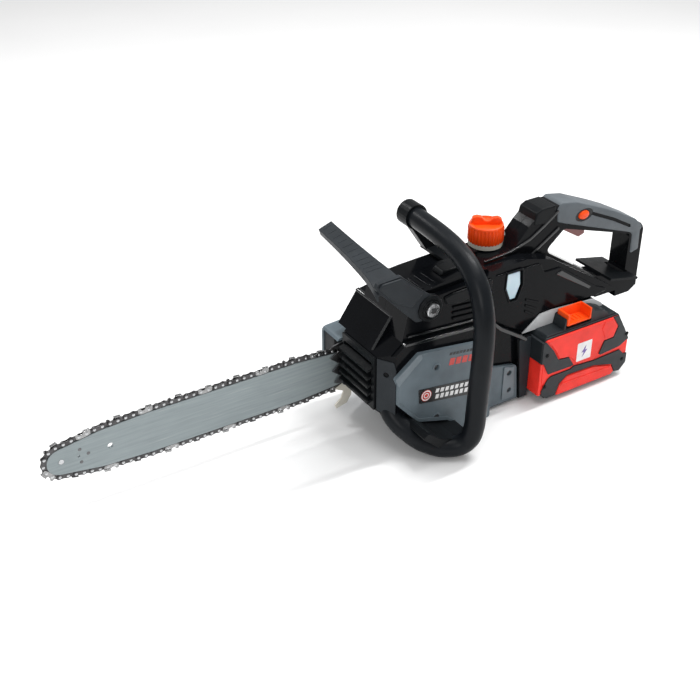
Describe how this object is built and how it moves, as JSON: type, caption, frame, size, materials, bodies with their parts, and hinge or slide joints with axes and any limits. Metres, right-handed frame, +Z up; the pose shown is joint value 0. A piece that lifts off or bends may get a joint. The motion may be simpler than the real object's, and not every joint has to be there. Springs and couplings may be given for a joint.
{
  "type": "chainsaw",
  "caption": "Cordless chainsaw with a guide bar and chain, front hoop handle, tilting hand guard, rear D handle with trigger, oil filler cap and a slide-out battery.",
  "frame": {"origin": "on the flat underside of the rubber rest pad, straight below the drive sprocket's axis and on the rear handle's mid-plane", "axes": "+X from the bar tip towards the rear handle, +Y towards the side that carries the bar, +Z up"},
  "size_m": [0.8103, 0.2083, 0.2662],
  "materials": {
    "black_plastic": "gloss",
    "dark_plastic": "satin, fine texture",
    "grey_plastic": "satin, fine texture",
    "soft_grip": "matte",
    "orange_plastic": "satin",
    "red_plastic": "satin",
    "bright_steel": "bright",
    "chain_steel": "oiled",
    "bar_paint": "satin",
    "winding": "lacquered copper over laminations",
    "window": "translucent",
    "cream_plastic": "satin",
    "white_label": "printed film",
    "heat_sink": "cast",
    "cell_sleeve": "shrink sleeve"
  },
  "bodies": {
    "housing": {"bar_plate": "bright_steel", "bar_stud": "bright_steel", "bar_nut": "bright_steel", "spiked_bumper": "bright_steel", "chain_catcher": "cream_plastic", "motor_stator": "winding", "shaft_bearing_right": "bright_steel", "shaft_bearing_left": "bright_steel", "brake_band": "bright_steel", "left_housing": "black_plastic", "right_housing": "black_plastic", "left_side_cover": "grey_plastic", "rear_lower_cover": "grey_plastic", "base_pad": "soft_grip", "front_grille": "dark_plastic", "front_box": "black_plastic", "sprocket_cover": "grey_plastic", "front_handle": "soft_grip", "handle_bracket": "black_plastic", "guard_pivot_bolt": "bright_steel", "rear_grip": "soft_grip", "trigger_pin": "bright_steel", "trigger_switch": "dark_plastic", "hand_protector": "dark_plastic", "oil_tank": "window", "oil_window": "window", "filler_ring": "cream_plastic", "oil_pump": "dark_plastic", "oil_hose": "soft_grip", "motor_controller": "heat_sink", "terminal_block": "dark_plastic", "side_cover_screw": "bright_steel", "rear_cover_screw_upper": "bright_steel", "rear_cover_screw_lower": "bright_steel"},
    "drive": {"drive_sprocket": "bright_steel", "motor_shaft": "bright_steel", "sprocket_clip": "bright_steel", "motor_rotor": "chain_steel", "cooling_fan": "dark_plastic", "brake_drum": "bright_steel"},
    "bar": {"guide_bar": "bar_paint", "saw_chain": "chain_steel", "nose_rivet": "bright_steel", "tension_pin": "bright_steel"},
    "nose": {"nose_sprocket": "bright_steel"},
    "tension_screw": {"tension_screw": "bright_steel"},
    "guard": {"hand_guard": "dark_plastic"},
    "trigger": {"trigger": "red_plastic"},
    "lock_off": {"lock_off_button": "orange_plastic"},
    "cap_seal": {"cap_seal": "soft_grip"},
    "oil_cap": {"oil_cap": "orange_plastic"},
    "battery": {"battery_case": "red_plastic", "battery_top_shell": "dark_plastic", "battery_bumper_front": "dark_plastic", "battery_bumper_rear": "dark_plastic", "battery_label": "white_label", "battery_cells": "cell_sleeve"},
    "battery_latch": {"battery_latch": "orange_plastic"}
  },
  "joints": [
    {"name": "drive_spin", "type": "hinge", "parent": "housing", "child": "drive", "pos_m": [0, 0, 0.0726], "axis": [0, 1, 0], "continuous": true},
    {"name": "bar_tension", "type": "slide", "parent": "housing", "child": "bar", "axis": [1, 0, 0], "range_m": [0, 0.008]},
    {"name": "nose_spin", "type": "hinge", "parent": "bar", "child": "nose", "pos_m": [-0.4194, 0.05, 0.0726], "axis": [0, 1, 0], "continuous": true},
    {"name": "tension_screw_turn", "type": "hinge", "parent": "housing", "child": "tension_screw", "pos_m": [-0.046, 0.035, 0.0606], "axis": [1, 0, 0], "range_deg": [0, 3600]},
    {"name": "guard_swing", "type": "hinge", "parent": "housing", "child": "guard", "pos_m": [-0.003, -0.047, 0.187], "axis": [0, -1, 0], "range_deg": [0, 15]},
    {"name": "trigger_pull", "type": "hinge", "parent": "housing", "child": "trigger", "pos_m": [0.231, 0, 0.224], "axis": [0, -1, 0], "range_deg": [0, 8], "stiffness_Nm_per_rad": 0.8, "springref_deg": -4.58},
    {"name": "lock_off_press", "type": "slide", "parent": "housing", "child": "lock_off", "axis": [0, 1, 0], "range_m": [0, 0.002], "stiffness_N_per_m": 1500, "springref_m": -0.001},
    {"name": "cap_lift", "type": "slide", "parent": "housing", "child": "cap_seal", "axis": [0, 0, 1], "range_m": [0, 0.009]},
    {"name": "cap_turn", "type": "hinge", "parent": "cap_seal", "child": "oil_cap", "pos_m": [0.132, 0.024, 0.2075], "axis": [0, 0, 1], "range_deg": [0, 1080]},
    {"name": "battery_slide", "type": "slide", "parent": "housing", "child": "battery", "axis": [0, -1, 0], "range_m": [0, 0.1]},
    {"name": "latch_press", "type": "slide", "parent": "battery", "child": "battery_latch", "axis": [0, 0, -1], "range_m": [0, 0.003], "stiffness_N_per_m": 1500, "springref_m": -0.001}
  ],
  "couplings": [
    {"joint": "nose_spin", "follows": "drive_spin", "ratio": 0.85714},
    {"joint": "tension_screw_turn", "follows": "bar_tension", "rad_per_m": 7850},
    {"joint": "cap_turn", "follows": "cap_lift", "rad_per_m": 2094}
  ]
}
